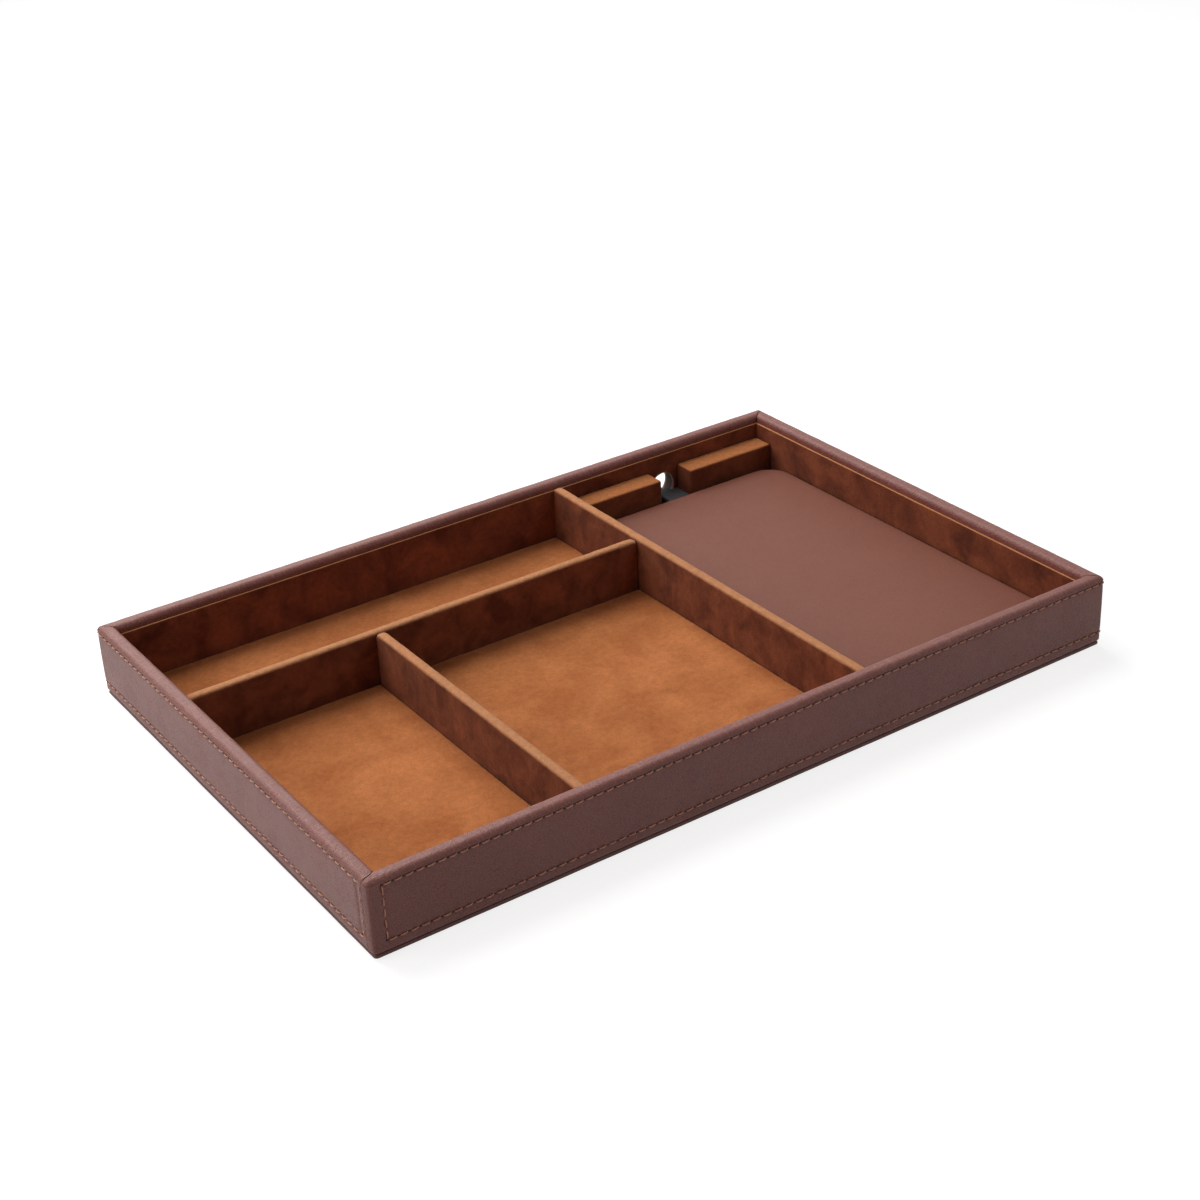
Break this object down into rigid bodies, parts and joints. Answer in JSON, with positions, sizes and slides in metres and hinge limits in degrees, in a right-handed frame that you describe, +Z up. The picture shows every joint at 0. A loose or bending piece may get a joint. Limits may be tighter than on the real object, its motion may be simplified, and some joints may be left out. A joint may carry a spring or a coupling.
{
  "type": "charging station organizer",
  "caption": "Low leather-covered valet tray with suede-lined bays, a lift-out wireless charging pad in the right bay and its cable through the back wall",
  "frame": {"origin": "centre of the tray's underside, on the surface that it stands on", "axes": "+X to the right along the long side, +Y to the back wall with the cable hole, +Z up"},
  "size_m": [0.33, 0.2561, 0.031],
  "materials": {
    "outer_leather": "fine grained, soft sheen",
    "tan_suede": "short napped suede, matt",
    "card_board": "raw pressed board",
    "dark_felt": "pressed felt, matt",
    "pad_plastic": "moulded, matt",
    "foot_rubber": "matt",
    "copper": "enamelled wire",
    "ferrite": "sintered plate",
    "circuit": "solder mask with black packages",
    "clear_plastic": "milky light guide",
    "plug_metal": "drawn nickel plated sheet",
    "plug_plastic": "fine eroded texture",
    "cable_jacket": "soft matt jacket",
    "tie_strap": "hook and loop strap",
    "white_plastic": "moulded"
  },
  "bodies": {
    "tray": {"base_felt": "dark_felt", "base_cover": "outer_leather", "base_board": "card_board", "wall_board_front": "card_board", "wall_board_back": "card_board", "wall_board_left": "card_board", "wall_board_right": "card_board", "leather_front_right": "outer_leather", "leather_left_back": "outer_leather", "liner_front": "tan_suede", "liner_back": "tan_suede", "liner_left": "tan_suede", "liner_right": "tan_suede", "divider_board_long": "card_board", "divider_board_cross": "card_board", "divider_board_short": "card_board", "divider_suede_long": "tan_suede", "divider_suede_cross": "tan_suede", "divider_suede_short": "tan_suede", "floor_pad_back": "tan_suede", "floor_pad_left": "tan_suede", "floor_pad_middle": "tan_suede", "floor_pad_charger": "tan_suede", "charger_ledge": "tan_suede", "cord_lead": "cable_jacket", "cord_hank": "cable_jacket", "cord_tail": "cable_jacket", "cord_tie": "tie_strap", "usb_a_relief": "plug_plastic", "usb_a_grip": "plug_plastic", "usb_a_shell": "plug_metal", "usb_a_insulator": "white_plastic"},
    "pad": {"pad_leather": "outer_leather", "pad_upper_shell": "pad_plastic", "pad_lower_shell": "pad_plastic", "pad_feet": "foot_rubber", "charging_coil": "copper", "ferrite_plate": "ferrite", "circuit_board": "circuit", "status_led": "clear_plastic", "usb_c_socket": "plug_metal", "usb_c_shell": "plug_metal", "usb_c_grip": "plug_plastic", "usb_c_relief": "plug_plastic"}
  },
  "joints": [
    {"name": "pad_lift", "type": "slide", "parent": "tray", "child": "pad", "axis": [0, 0, 1], "range_m": [0, 0.045]}
  ]
}
